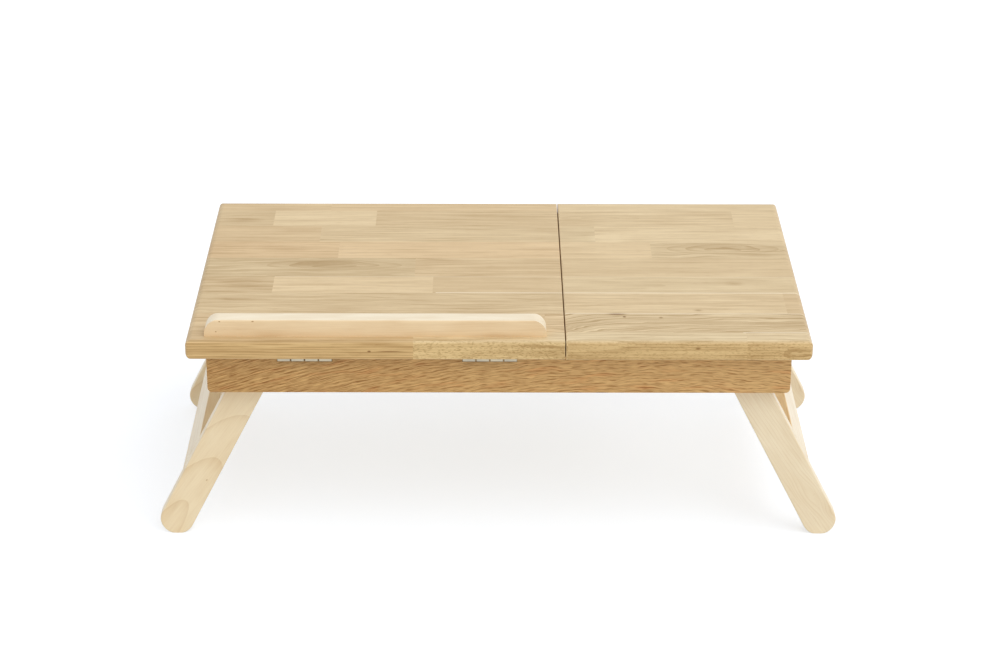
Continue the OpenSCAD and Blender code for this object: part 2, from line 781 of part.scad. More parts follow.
// The screws of one leaf, drawn as wood_screw points them
module leaf_screw_places() {
    for (i = [-1 : 1]) translate([i * hinge_screw_pitch, hinge_screw_at, leaf_gap / 2]) children();
}

module at_hinges() {
    for (x = hinge_xs) translate([x, hinge_y, hinge_z]) children();
}

module upper_screw_places() { at_hinges() leaf_screw_places() children(); }
module lower_screw_places() { at_hinges() mirror([0, 0, 1]) leaf_screw_places() children(); }

module hinge_upper_leaves() { color(steel) at_hinges() leaf(1, pin_d + 2 * pin_clearance); }
module hinge_lower_leaves() { color(steel) at_hinges() mirror([0, 0, 1]) leaf(0, pin_d); }
module hinge_pins() {
    color(steel) at_hinges() translate([-hinge_l / 2 + knuckle_gap / 2, 0, 0])
        rod_x(pin_d, hinge_l - knuckle_gap);
}
module hinge_upper_screws() {
    color(steel) upper_screw_places() wood_screw(hinge_screw_d, hinge_screw_l);
}
module hinge_lower_screws() {
    color(steel) lower_screw_places() wood_screw(hinge_screw_d, hinge_screw_l);
}

// ---- Prop ----

// Block under the tilting board that carries a prop arm; side is -1 at the left, 1 at the right
module prop_bracket(side) {
    x = prop_x + side * bracket_x;
    difference() {
        translate([x - bracket_t / 2, prop_pivot_y - bracket_l / 2, tilt_under - bracket_h])
            along_x(bracket_t)
            rounded_rect(bracket_l, bracket_h, [bracket_h / 2, bracket_h / 2, 0, 0]);
        prop_pin_shape(side);
        bracket_screw_places() wood_screw(panel_screw_d, bracket_screw_l, true);
    }
}

// Pin through one bracket and its arm
module prop_pin_shape(side) {
    l = bracket_t + arm_side_gap + prop_arm;
    translate([prop_x + side * (prop_w / 2 - prop_arm / 2), prop_pivot_y, prop_pivot_z])
        mirror([side < 0 ? 1 : 0, 0, 0]) rod_x(prop_pin_d, l);
}

module prop_pins() { color(steel) for (side = [-1, 1]) prop_pin_shape(side); }

// Screws up through the brackets into the board, in front of and behind the pin
module bracket_screw_places() {
    for (side = [-1, 1], y = [prop_pivot_y - bracket_screw_at, prop_pivot_y + bracket_screw_at])
        translate([prop_x + side * bracket_x, y, tilt_under - bracket_h]) children();
}

module left_prop_bracket() { color(maple) prop_bracket(-1); }
module right_prop_bracket() { color(maple) prop_bracket(1); }
module bracket_screws() { color(steel) bracket_screw_places() wood_screw(panel_screw_d, bracket_screw_l); }

// Puts a shape drawn along +Y from the prop's pivot into its place at rest
module at_prop() {
    translate([prop_x, prop_pivot_y, prop_pivot_z]) rotate([-prop_slope, 0, 0]) children();
}

module prop_arm_shape(side) {
    x = side * prop_w / 2 - prop_arm / 2;
    at_prop() difference() {
        union() {
            translate([x, 0, -prop_arm / 2]) cube([prop_arm, prop_l, prop_arm]);
            for (y = [0, prop_l]) translate([x, y, 0]) rod_x(prop_arm, prop_arm);
        }
        translate([x - over, 0, 0]) rod_x(prop_pin_d + 2 * pin_clearance, prop_arm + 2 * over);
        translate([x - over, prop_l, 0]) rod_x(prop_bar_d, prop_arm + 2 * over);
        crossbar_shape();
    }
}

// Crossbar between the arms, half way along them
module crossbar_shape() {
    l = prop_w - prop_arm + 2 * crossbar_in_arm;
    translate([-l / 2, prop_l / 2, 0]) rod_x(prop_bar_d, l);
}

module left_prop_arm() { color(maple) prop_arm_shape(-1); }
module right_prop_arm() { color(maple) prop_arm_shape(1); }
module prop_crossbar() { color(dowel_wood) at_prop() crossbar_shape(); }
module prop_foot_bar() {
    half = bracket_x + rack_w / 2;
    color(dowel_wood) at_prop() translate([-half, prop_l, 0]) rod_x(prop_bar_d, 2 * half);
}

// Notched strip on the base panel, under one end of the foot bar
module rack(side) {
    notch_d = prop_bar_d + 2 * notch_clearance;
    translate([prop_x + side * bracket_x - rack_w / 2, 0, 0]) difference() {
        translate([0, rack_front, base_top]) cube([rack_w, rack_rear - rack_front, rack_h]);
        for (y = notch_ys) translate([-over, y, rack_top - notch_depth + notch_d / 2])
            rod_x(notch_d, rack_w + 2 * over);
    }
}

module left_rack() { color(maple) rack(-1); }
module right_rack() { color(maple) rack(1); }

// ---- Drawer ----

// Panel that sits in the grooves of the drawer's four walls
module bottom_shape() {
    translate([box_back_x + side_t - groove_depth, -box_half + side_t - groove_depth, box_z0 + groove_rise])
        cube([box_front_x - box_back_x - side_t + 2 * groove_depth,
            2 * (box_half - side_t + groove_depth), bottom_t]);
}

module drawer_dowel_shapes() {
    bottom_top = box_z0 + groove_rise + bottom_t;
    z = (bottom_top + box_z0 + box_h) / 2;
    front_and_rear() {
        translate([box_front_x + dowel_in_front - drawer_dowel_l, -box_half + side_t / 2, z])
            rod_x(small_dowel_d, drawer_dowel_l);
        translate([box_back_x + side_t / 2, -box_half + side_t / 2, z])
            rod_y(back_dowel_d, drawer_dowel_l);
    }
}

module drawer_front() {
    color(dark_oak) difference() {
        translate([box_front_x, -front_half, front_z0]) along_y(2 * front_half)
            rounded_rect(front_t, front_h, [0, rail_edge_r, rail_edge_r, 0]);
        bottom_shape();
        drawer_dowel_shapes();
        knob_screw_shape();
    }
}

// Side of the drawer nearest the front rail
module drawer_side() {
    difference() {
        translate([box_back_x, -box_half, box_z0]) along_x(box_front_x - box_back_x)
            rounded_rect(side_t, box_h, [0, 0, drawer_edge_r, drawer_edge_r]);
        bottom_shape();
        drawer_dowel_shapes();
    }
}

module drawer_near_side() { color(ply) drawer_side(); }
module drawer_far_side() { color(ply) mirror([0, 1, 0]) drawer_side(); }

module drawer_back() {
    color(ply) difference() {
        translate([box_back_x, -box_half + side_t, box_z0]) along_y(2 * (box_half - side_t))
            rounded_rect(side_t, box_h, [0, 0, drawer_edge_r, drawer_edge_r]);
        bottom_shape();
        drawer_dowel_shapes();
    }
}

module drawer_bottom() { color(ply) bottom_shape(); }
module drawer_dowels() { color(dowel_wood) drawer_dowel_shapes(); }

// Turned knob: foot, neck and domed head
module drawer_knob() {
    dome_r = (knob_head_l ^ 2 + (knob_d / 2) ^ 2) / (2 * knob_head_l);
    color(maple) difference() {
        translate([rail_end_x, 0, drawer_mid_z]) rotate([0, 90, 0]) rotate_extrude() {
            square([knob_neck_d / 2, knob_l - knob_head_l + over]);
            intersection() {
                translate([0, knob_l - dome_r]) circle(dome_r);
                translate([0, knob_l - knob_head_l]) square([knob_d / 2, knob_head_l]);
            }
        }
        knob_screw_shape();
    }
}

// Pan-head screw from inside the drawer through its front into the knob
module knob_screw_shape() {
    translate([box_front_x, 0, drawer_mid_z]) {
        rod_x(knob_screw_d, front_t + knob_screw_in);
        translate([-knob_screw_head_t, 0, 0]) rod_x(knob_screw_head_d, knob_screw_head_t);
    }
}

module knob_screw() { color(steel) knob_screw_shape(); }

tilt_board();
fixed_board();
stop_ledge();
ledge_dowels();
front_rail();
rear_rail();
left_side_rail();
right_cross_rail();
front_guide_rail();
rear_guide_rail();
centre_divider();
base_panel();
frame_dowels();
panel_screws();
board_screws();
pivot_bolts();
thread_inserts();
pivot_washers();
left_front_leg();
left_rear_leg();
left_stretcher();
left_stretcher_dowels();
right_front_leg();
right_rear_leg();
right_stretcher();
right_stretcher_dowels();
hinge_upper_leaves();
hinge_lower_leaves();
hinge_pins();
hinge_upper_screws();
hinge_lower_screws();
left_prop_bracket();
right_prop_bracket();
bracket_screws();
prop_pins();
left_prop_arm();
right_prop_arm();
prop_crossbar();
prop_foot_bar();
left_rack();
right_rack();
drawer_front();
drawer_near_side();
drawer_far_side();
drawer_back();
drawer_bottom();
drawer_dowels();
drawer_knob();
knob_screw();
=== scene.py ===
"""Looks of a folding laptop table: woods, metals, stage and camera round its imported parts."""

import math
from types import SimpleNamespace
from typing import NamedTuple

import bpy
from bpy.props import FloatProperty, FloatVectorProperty, PointerProperty
from mathutils import Matrix, Vector


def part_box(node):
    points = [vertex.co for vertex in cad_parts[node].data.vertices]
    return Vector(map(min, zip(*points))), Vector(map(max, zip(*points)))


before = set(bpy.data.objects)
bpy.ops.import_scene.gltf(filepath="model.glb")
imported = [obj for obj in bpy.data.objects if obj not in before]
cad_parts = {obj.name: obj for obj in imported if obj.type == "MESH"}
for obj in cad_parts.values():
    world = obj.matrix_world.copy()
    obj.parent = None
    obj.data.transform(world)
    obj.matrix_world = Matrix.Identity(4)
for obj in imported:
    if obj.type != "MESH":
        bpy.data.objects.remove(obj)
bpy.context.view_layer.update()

bl_info = {
    "name": "Folding laptop table",
    "version": (1, 0, 0),
    "blender": (4, 5, 0),
    "location": "View3D > Sidebar > Table",
    "description": "Finishes the parts of a folding oak and maple laptop table and sets its stage",
    "category": "Object",
}

MM = 0.001
IMAGE_WIDTH_PX = 990
SENSOR_MM = 36.0

ALONG_X, ALONG_Y, UPRIGHT = (1, 0, 0), (0, 1, 0), (0, 0, 1)
FACE_Y, FACE_Z = 1, 2  # places in what facing returns


# ---- Colours and places ----


def linear(level):
    """Linear value of an sRGB level from 0 to 255: a straight foot, then a power curve."""
    share = level / 255
    return share / 12.92 if share <= 0.04045 else ((share + 0.055) / 1.055) ** 2.4


def paint(red, green, blue):
    """Linear colour of an sRGB colour given as three levels from 0 to 255."""
    return linear(red), linear(green), linear(blue)


def opaque(colour):
    """A colour property as the four numbers that a colour socket takes."""
    return (*colour, 1.0)


def node_box_mm(name):
    """Lowest and highest corners of a CAD node, in millimetres."""
    low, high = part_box(name)
    return low / MM, high / MM


def middle_mm(name):
    """Middle of a CAD node's box, in millimetres."""
    low, high = node_box_mm(name)
    return (low + high) / 2


# ---- Settings ----


def colour_setting(name, description, default):
    """A colour that a user may change."""
    return FloatVectorProperty(
        name=name, description=description, subtype="COLOR", min=0, max=1, default=default,
    )


def number_setting(name, description, low, high, default, subtype="NONE"):
    """A number that a user may change, from low to high."""
    return FloatProperty(
        name=name, description=description, subtype=subtype, min=low, max=high, default=default,
    )


class TableFinishes(bpy.types.PropertyGroup):
    """Colours of the woods and metals, and two sizes that their patterns follow."""

    oak_pale: colour_setting(
        "Pale oak", "Lightest oak of the top", paint(234, 214, 174))
    oak_deep: colour_setting(
        "Deep oak", "Darkest grain of the top", paint(182, 154, 108))
    oak_pink: colour_setting(
        "Pink oak", "Tint of the top's pinkest staves", paint(255, 228, 205))
    oak_pores: colour_setting(
        "Oak pores", "Fine pores of the top", paint(170, 134, 84))
    glue: colour_setting(
        "Glue", "Pale glue lines between some strips", paint(250, 236, 210))
    # Painted light: a warm tint on the top's front and rear edges, for the warm light that falls on
    # faces turned forward or back
    edge_painted_light: colour_setting(
        "Edge tint", "Tint of the top's front and rear edges", paint(255, 243, 214))
    end_tint: colour_setting(
        "End tint", "Tint of the boards' end grain", paint(238, 212, 172))
    knot: colour_setting(
        "Knot", "Darkest part of a knot", paint(128, 92, 54))
    rail_pale: colour_setting(
        "Pale rail", "Lightest oak of the rails", paint(222, 180, 118))
    rail_deep: colour_setting(
        "Deep rail", "Darkest grain of the rails", paint(146, 97, 38))
    rail_red: colour_setting(
        "Red rail", "Tint of the rails' reddest streaks", paint(255, 222, 200))
    rail_amber: colour_setting(
        "Amber rail", "Tint of the end where the rails' grain climbs", paint(252, 245, 224))
    maple_pale: colour_setting(
        "Pale maple", "Lightest maple of the legs", paint(251, 239, 214))
    maple_deep: colour_setting(
        "Deep maple", "Ring lines of the maple", paint(214, 184, 138))
    # Painted warm light on the maple's faces square to one axis, most often the front and rear ones
    maple_painted_light: colour_setting(
        "Maple tint", "Tint of the maple's warmer faces", paint(255, 247, 231))
    # Painted light: the right legs' front and rear faces are paler, for the stronger light from the
    # right
    right_leg_painted_light: colour_setting(
        "Right leg tint", "Tint of the right legs' front and rear faces", paint(255, 251, 242))
    # Painted warm light on the ledge's front face
    ledge_painted_light: colour_setting(
        "Ledge tint", "Tint of the ledge's front face", paint(251, 235, 212))
    # Painted shade and bounce light: a warm, darker tint on the right stretcher's narrow faces,
    # which lie in the table's shade
    stretcher_painted_light: colour_setting(
        "Stretcher tint", "Tint of the right stretcher's narrow faces", paint(255, 238, 208))
    steel: colour_setting(
        "Steel", "Plated steel of the screws, bolts and washers", paint(214, 206, 188))
    hinge_steel: colour_setting(
        "Hinge steel", "Duller plated steel of the hinges' leaves and pins", paint(197, 186, 161))
    brass: colour_setting(
        "Brass", "Brass of the thread inserts", paint(206, 170, 96))
    stain: colour_setting(
        "Stain", "Dull stains on the metal", paint(150, 148, 142))
    # Colour of the painted shade in the hinge knuckles' gaps and on their upper and lower faces
    knuckle_shade_colour: colour_setting(
        "Knuckle shade", "Dark gaps between the hinge knuckles", paint(92, 78, 58))
    hinge_length: number_setting(
        "Hinge length", "Length of a hinge barrel", 0.01, 0.2, 0.051, "DISTANCE")
    leg_width: number_setting(
        "Leg width", "Width of a leg", 0.005, 0.1, 0.032, "DISTANCE")


class TableStage(bpy.types.PropertyGroup):
    """Floor, light and camera."""

    floor: colour_setting(
        "Floor", "Colour of the floor in the light that it throws on the table", (0.8, 0.8, 0.8))
    floor_dim: colour_setting(
        "Floor's shadow", "Part of the floor's white that a shadow takes away",
        (0.53, 0.565, 0.615))
    floor_glow: number_setting(
        "Floor's own white", "Part of the floor's white that no shadow takes away", 0, 2, 0.585)
    floor_half: number_setting(
        "Floor's half width", "Half of the floor's width", 1, 50, 6.0, "DISTANCE")
    floor_drop: number_setting(
        "Floor's drop", "Gap between the feet and the floor", 0, 0.01, 0.0001, "DISTANCE")
    sky_strength: number_setting(
        "Sky", "Strength of the even light from all round", 0, 4, 0.88)
    lamp_strength: number_setting(
        "Lamp", "Strength of the soft lamp above the right", 0, 20, 1.16)
    lamp_spread: number_setting(
        "Lamp spread", "Angle that the soft lamp fills", 0, math.pi, math.radians(50), "ANGLE")
    lamp_from: FloatVectorProperty(
        name="Lamp's side", description="Direction from the table to the soft lamp",
        subtype="DIRECTION", default=(0.5, -0.35, 0.8),
    )
    camera_place: FloatVectorProperty(
        name="Camera", description="Place of the camera",
        subtype="TRANSLATION", default=(-0.01112, -2.32377, 1.21613),
    )
    camera_turn: FloatVectorProperty(
        name="Camera turn", description="Camera's yaw, pitch below level, and roll",
        subtype="EULER", default=(0.00339, 0.43035, 0.003),
    )
    focal_length: number_setting(
        "Focal length", "Camera's focal length in pixels of the picture", 100, 20000, 2599.9,
        "PIXEL")


def finishes():
    """The finishes' settings in the open scene."""
    return bpy.context.scene.table_finishes


# ---- Node trees ----


class Wire:
    """An output of a material's nodes. Arithmetic on it adds Math nodes to that material."""

    def __init__(self, recipe, socket):
        self.recipe = recipe
        self.socket = socket

    def __add__(self, other):
        return self.recipe.maths("ADD", self, other)

    def __radd__(self, other):
        return self.recipe.maths("ADD", other, self)

    def __sub__(self, other):
        return self.recipe.maths("SUBTRACT", self, other)

    def __rsub__(self, other):
        return self.recipe.maths("SUBTRACT", other, self)

    def __mul__(self, other):
        return self.recipe.maths("MULTIPLY", self, other)

    def __rmul__(self, other):
        return self.recipe.maths("MULTIPLY", other, self)

    def __truediv__(self, other):
        return self.recipe.maths("DIVIDE", self, other)

    def __pow__(self, other):
        return self.recipe.maths("POWER", self, other)

    def __gt__(self, other):
        return self.recipe.maths("GREATER_THAN", self, other)

    def __lt__(self, other):
        return self.recipe.maths("LESS_THAN", self, other)


class Recipe:
    """The node tree of one material or of the world."""

    def __init__(self, tree):
        self.nodes = tree.nodes
        self.links = tree.links
        self.nodes.clear()

    def add(self, kind, settings=None, values=None, out=0):
        """Adds a node and returns one output, or several where out is a tuple.

        Settings are the node's own properties and are set first; a ramp's stops are
        (place, colour) pairs. Values go to its sockets, by name or number.
        """
        node = self.nodes.new(kind)
        for name, value in (settings or {}).items():
            if name == "stops":
                self.set_stops(node.color_ramp, value)
            elif name == "interpolation":
                node.color_ramp.interpolation = value
            else:
                setattr(node, name, value)
        for key, value in (values or {}).items():
            if isinstance(value, Wire):
                self.links.new(value.socket, node.inputs[key])
            else:
                node.inputs[key].default_value = value
        if isinstance(out, tuple):
            return [Wire(self, node.outputs[key]) for key in out]
        return Wire(self, node.outputs[out]) if node.outputs else None

    @staticmethod
    def set_stops(ramp, stops):
        """Gives a colour ramp its stops, in order."""
        for number, (place, colour) in enumerate(stops):
            if number < len(ramp.elements):
                stop = ramp.elements[number]
                stop.position = place
            else:
                stop = ramp.elements.new(place)
            stop.color = opaque(colour)

    def maths(self, operation, *values):
        """One Math node."""
        return self.add("ShaderNodeMath", {"operation": operation}, dict(enumerate(values)))

    def between(self, start, end, value):
        """0 at the start, 1 at the end, and a smooth step from one to the other."""
        values = {"Value": value, "From Min": start, "From Max": end}
        return self.add("ShaderNodeMapRange", {"interpolation_type": "SMOOTHSTEP"}, values)

    def clamp(self, value):
        """The value, kept from 0 to 1."""
        return self.add("ShaderNodeClamp", values={"Value": value})

    def blend(self, share, first, second, mode="MIX"):
        """Mixes two colours."""
        return self.add(
            "ShaderNodeMix",
            {"data_type": "RGBA", "blend_type": mode},
            {0: share, 6: first, 7: second},
            out=2,
        )

    def tint(self, share, colour, tint):
        """A colour multiplied by a tint, as far as the share says."""
        return self.blend(share, colour, opaque(tint), "MULTIPLY")

    def point(self, x, y, z):
        """A vector of three values."""
        return self.add("ShaderNodeCombineXYZ", values={0: x, 1: y, 2: z})

    def noise(self, point, detail):
        """Noise from 0 to 1, about one lump per unit of the point."""
        values = {"Vector": point, "Scale": 1.0, "Detail": detail}
        return self.add("ShaderNodeTexNoise", values=values)

    def bump(self, height, strength, depth_mm):
        """A surface direction from a height from 0 to 1."""
        values = {"Height": height, "Strength": strength, "Distance": depth_mm * MM}
        return self.add("ShaderNodeBump", values=values)

    def surface(self, values):
        """The surface shader, joined to the output."""
        shader = self.add("ShaderNodeBsdfPrincipled", values=values)
        self.add("ShaderNodeOutputMaterial", values={"Surface": shader})


def new_material(name):
    """A new material and the recipe that fills it."""
    material = bpy.data.materials.new(name)
    material.use_nodes = True
    return material, Recipe(material.node_tree)


def assign(material, *names):
    """Gives CAD nodes one material."""
    for name in names:
        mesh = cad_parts[name].data
        mesh.materials.clear()
        mesh.materials.append(material)


# ---- Grain ----


class Streak(NamedTuple):
    """Noise drawn out along the grain; length and width in millimetres."""

    length: float
    width: float
    detail: float = 2.0


class Patch(NamedTuple):
    """Streaks that show only where their noise, from about -1 to 1, rises from low to high."""

    length: float
    width: float
    low: float
    high: float
    detail: float = 2.0


class Rings(NamedTuple):
    """Growth rings: stretch times as long as wide, and spacing apart, bent by slow noise, mm."""

    stretch: float
    spacing: float
    bend_height: float
    bend: Streak


def grain_axes(along, across):
    """Rotation whose X runs along the grain, Y across the face and Z out of it."""
    x = Vector(along).normalized()
    y = (Vector(across) - x * x.dot(Vector(across))).normalized()
    return Matrix((x, y, x.cross(y))).transposed().to_euler()


def place_in_wood(recipe, origin_mm, turn):
    """Place on a surface in millimetres: along the grain, across the face, out of it."""
    coords = recipe.add("ShaderNodeTexCoord", out="Object")
    values = {
        "Vector": coords,
        "Location": Vector(origin_mm) * MM,
        "Rotation": turn,
        "Scale": (MM, MM, MM),
    }
    placed = recipe.add("ShaderNodeMapping", {"vector_type": "TEXTURE"}, values)
    return recipe.add("ShaderNodeSeparateXYZ", values={0: placed}, out=(0, 1, 2))


def facing(recipe):
    """How far a surface faces along X, Y and Z, each from 0 to 1."""
    normal = recipe.add("ShaderNodeTexCoord", out="Normal")
    parts = recipe.add("ShaderNodeSeparateXYZ", values={0: normal}, out=(0, 1, 2))
    return [recipe.maths("ABSOLUTE", part) for part in parts]


def streaks(recipe, spot, shape):
    """A Streak's noise at a spot, from about -1 to 1."""
    along, across, out = spot
    place = recipe.point(along / shape.length, across / shape.width, out / shape.width)
    return recipe.noise(place, shape.detail) * 2.0 - 1.0


def patches(recipe, spot, shape):
    """A Patch's streaks at a spot, from 0 to 1."""
    return recipe.between(shape.low, shape.high, streaks(recipe, spot, shape))


def rings(recipe, spot, heart, shape):
    """Growth rings as a phase that grows by 1 from one ring to the next.

    They are ovals round the heart: phase = sqrt((along / stretch)^2 + across^2 + out^2) /
    spacing, measured from the heart.
    """
    along, across, out = spot
    bend = streaks(recipe, spot, shape.bend) * shape.bend_height
    long = (along - heart[0]) / shape.stretch
    side = across - heart[1] + bend
    deep = out - heart[2]
    return (long * long + side * side + deep * deep) ** 0.5 / shape.spacing


def ring_line(recipe, phase, sharpness):
    """1 on the line that ends each ring, fading towards the next; a sharp line is thin."""
    return recipe.maths("FRACT", phase) ** sharpness


def part_grain(recipe, spot, knots):
    """The place with the grain parted round knots, and how dark the knots make it.

    A knot is (x, y, z, half length, half width, spread, shade) in the wood's millimetres. Inside
    its oval the place moves towards its middle by the spread, so the lines there part round it.
    """
    x, y, z = spot
    side, deep, dark = y, z, 0.0
    for along, across, out, length, width, spread, shade in knots:
        from_middle = ((x - along) / length, (y - across) / width, (z - out) / width)
        away = sum((part * part for part in from_middle), 0.0) ** 0.5
        near = recipe.between(1.0, 0.0, away)
        side = side - (y - across) * near * spread
        deep = deep - (z - out) * near * spread
        dark = near * shade + dark
    return (x, side, deep), dark


# A knot's own colour covers slope * shade - start of the wood, kept from 0 to 1
KNOT_COLOUR_SLOPE = 0.9
KNOT_COLOUR_START = 0.25


def wood_tone(recipe, dark, pale, deep, knots):
    """Wood from its pale to its deep colour, and the knot colour where knots are darkest."""
    tone = recipe.blend(recipe.clamp(dark), opaque(pale), opaque(deep))
    share = recipe.clamp(knots * KNOT_COLOUR_SLOPE - KNOT_COLOUR_START)
    return recipe.blend(share, tone, opaque(finishes().knot))


# ---- The glued-up top ----

# Strips from the rear edge to the front: where each starts (y, mm), and its staves as
# (left end, shade, warmth, swirl). Shade runs from 0 at the palest, warmth from 0 for yellow
# to 1 for pink, and swirl from 0 where the rings are straight. The last row is the front edge.
STRIPS = (
    (170, ((-288, 0.45, 0.40, 0.1), (-173, 0.35, 0.45, 0.1), (62, 0.15, 0.45, 0.1))),
    (147, ((-288, 0.60, 0.25, 0.3), (-228, 0.10, 0.25, 0.1), (-125, 0.55, 0.30, 0.2),
           (62, 0.35, 0.50, 0.3), (238, 0.20, 0.50, 0.1))),
    (106, ((-288, 0.50, 0.45, 0.2), (-178, 0.40, 0.25, 0.1), (95, 0.10, 0.45, 0.3))),
    (65, ((-288, 0.48, 0.70, 0.2), (-158, 0.20, 0.65, 0.1), (62, 0.15, 0.75, 0.1),
          (150, 0.42, 0.35, 0.9))),
    (24, ((-288, 0.70, 0.15, 0.8), (-82, 0.55, 0.40, 0.2), (62, 0.40, 0.60, 0.1))),
    (-22, ((-288, 0.75, 0.30, 0.6), (-216, 0.12, 0.35, 0.1), (-63, 0.50, 0.35, 0.1),
           (62, 0.30, 0.30, 0.1))),
    (-60, ((-288, 0.52, 0.25, 0.6), (62, 0.25, 0.65, 0.4), (268, 0.45, 0.80, 0.2))),
    (-108, ((-288, 0.45, 0.45, 0.2), (41, 0.42, 0.45, 1.0))),
    (-150, ((-288, 0.70, 0.45, 0.0), (-79, 0.25, 0.15, 0.9), (62, 0.10, 0.20, 0.5),
            (226, 0.15, 0.30, 0.7))),
    (-168, ((-288, 0.43, 0.45, 0.0), (-79, 0.06, 0.05, 0.9), (62, 0.33, 0.35, 0.5),
            (226, 0.37, 0.45, 0.7))),
)

# Left end and width of the ramps that hold the strips' staves, a little wider than the top
RAMP_LEFT_MM = -288
RAMP_WIDTH_MM = 576

# Unrelated factors of a stave's row, shade and warmth, so that each stave has its own chances
SEED_FACTORS = (3.71, 11.3, 5.17)

# Knots and figured places of the top, for part_grain; z runs down from 0 at its face
TOP_KNOTS = (
    (228, 52, 0, 62, 14, 0.9, 0.2),
    (-165, 10, 0, 66, 13, 0.8, 0.14),
    (-245, -38, 0, 30, 11, 0.7, 0.25),
    (-250, -76, 0, 40, 10, 0.7, 0.15),
    (-258, 121, 0, 26, 8, 0.4, 0.35),
    (110, -109, 0, 14, 4.5, 0.3, 1.1),
    (187, -100, 0, 7, 4, 0.6, 0.55),
    (117, -115, 0, 2.4, 2.6, 0.2, 1.2),
    (151, -117, 0, 3, 3, 0.3, 0.7),
    (226, -38, 0, 14, 8, 0.5, 0.3),
    (112, 76, 0, 30, 16, 0.0, -0.35),
    (-119, -170, -10.5, 2.5, 1.5, 0.0, 1.4),
    (-100, -170, -10.4, 22, 1.2, 0.0, 0.9),
    (182, -170, -7, 4, 2, 0.4, 0.9),
    (260, -170, -7, 26, 4, 0.7, 0.35),
)

# Hearts of the figured staves: (x, y, half length, half width, rings, shade), mm
TOP_OVALS = (
    (222, 48, 74, 17, 4, 0.42),
    (-160, 6, 88, 15, 4, 0.34),
    (104, 128, 60, 12, 3, 0.16),
)
OVAL_SHARPNESS = 3.0
OVAL_FADE = (1.0, 0.55)  # from nothing at its rim to full, in parts of its size

# Pale glue lines between strips: (y, left end, strength)
GLUE_LINES = ((-60, -60, 0.9), (-108, 62, 0.7), (-150, 225, 0.8), (-22, -216, 0.3))
GLUE_LINE_MM = 1.2

# The stave whose rings climb from its left end and level out; its sizes are in millimetres
CLIMB = SimpleNamespace(
    left=62.0, upper=-108.0, lower=-150.0, height=20.0, length=48.0, spacing=8.5,
    sharpness=7.0, dark=0.85,
)

# The top's figure. Chances, swirl and shade run from 0 to 1. What ends in dark says how far a
# mark turns pale oak into deep oak, and what ends in share how much of a colour it lays on.
TOP = SimpleNamespace(
    wave=Streak(75.0, 20.0),
    wave_mm=0.9,  # height of the waves where the grain is straight
    swirl_wave_mm=9.0,  # and what full swirl adds
    chance_move_mm=(900.0, 500.0),  # how far chance moves a stave's streaks along and across
    heart_middle_mm=(0.0, 0.0, -18.0),
    heart_spread_mm=(700.0, 260.0, 24.0),
    rings=Rings(16.0, 7.6, 1.0, Streak(60.0, 18.0)),
    ring_sharpness=5.0,
    ring_fade=Patch(70.0, 8.0, -0.35, 0.45),
    oval_wave=0.4,  # part of the waves that the ovals follow
    fine=Streak(80.0, 2.0, 3.0),
    broad=Streak(190.0, 4.2),
    cloud=Streak(70.0, 14.0),
    pores=Patch(12.0, 0.9, 0.12, 0.45, 1.0),
    lively=0.12,  # strength of the fine and broad streaks on the calmest stave
    chance_lively=0.45,
    swirl_lively=0.35,
    base_dark=0.08,
    shade_dark=0.58,
    ring_dark=0.34,
    swirl_ring_dark=0.35,
    broad_dark=0.7,
    cloud_dark=0.28,
    edge_dark=0.9,
    end_dark=0.08,
    end_turn=(0.2, 0.8),  # how far a face turns to the ends while its long grain fades
    end_fade=0.65,
    end_tint_turn=(0.8, 1.0),
    # how sharply the painted warm light comes in as a face turns forward or back
    edge_light_power=2.0,
    pink_share=0.55,
    fixed_pink_loss=0.28,  # the fixed board is cut from less pink stock
    pore_share=0.2,
    roughness=0.5,
    fine_roughness=0.1,
    pore_depth=0.7,
    ring_depth=0.3,
    bump_strength=0.3,
    bump_mm=0.2,
)

# Front and rear edges: layers that long pores follow, and dots on the swirled staves
EDGE = SimpleNamespace(
    bend=Streak(110.0, 8.0),
    bend_mm=1.8,
    layer_mm=2.7,
    sharpness=2.5,
    long_pores=Patch(60.0, 3.0, -0.35, 0.25),
    long_share=1.3,  # less the stave's swirl
    dots=Patch(3.2, 1.1, 0.05, 0.3, 1.0),
    dot_share=0.7,
)


def stave_facts(recipe, x, y):
    """Shade, warmth and swirl of the stave at a place, and three chance numbers of its own."""
    across = (x - RAMP_LEFT_MM) / RAMP_WIDTH_MM
    facts, row = None, 0.0
    for start, staves in STRIPS:
        stops = [((left - RAMP_LEFT_MM) / RAMP_WIDTH_MM, values) for left, *values in staves]
        ramp_settings = {"interpolation": "CONSTANT", "stops": stops}
        ramp = recipe.add("ShaderNodeValToRGB", ramp_settings, {"Fac": across})
        if facts is None:
            facts = ramp
        else:
            inside = y < start
            facts = recipe.blend(inside, facts, ramp)
            row = inside + row
    parts = recipe.add("ShaderNodeSeparateColor", values={0: facts}, out=(0, 1, 2))
    shade, warmth, _ = parts
    seed = row * SEED_FACTORS[0] + shade * SEED_FACTORS[1] + warmth * SEED_FACTORS[2]
    white_noise = {"noise_dimensions": "1D"}
    chance = recipe.add("ShaderNodeTexWhiteNoise", white_noise, {"W": seed}, out="Color")
    return parts, recipe.add("ShaderNodeSeparateColor", values={0: chance}, out=(0, 1, 2))


def ovals(recipe, x, y, places):
    """Dark rings round the hearts of figured places, fading towards the outermost."""
    lines = 0.0
    for along, across, length, width, count, shade in places:
        over, up = (x - along) / length, (y - across) / width
        away = (over * over + up * up) ** 0.5
        ring = ring_line(recipe, away * count, OVAL_SHARPNESS)
        lines = ring * recipe.between(*OVAL_FADE, away) * shade + lines
    return lines


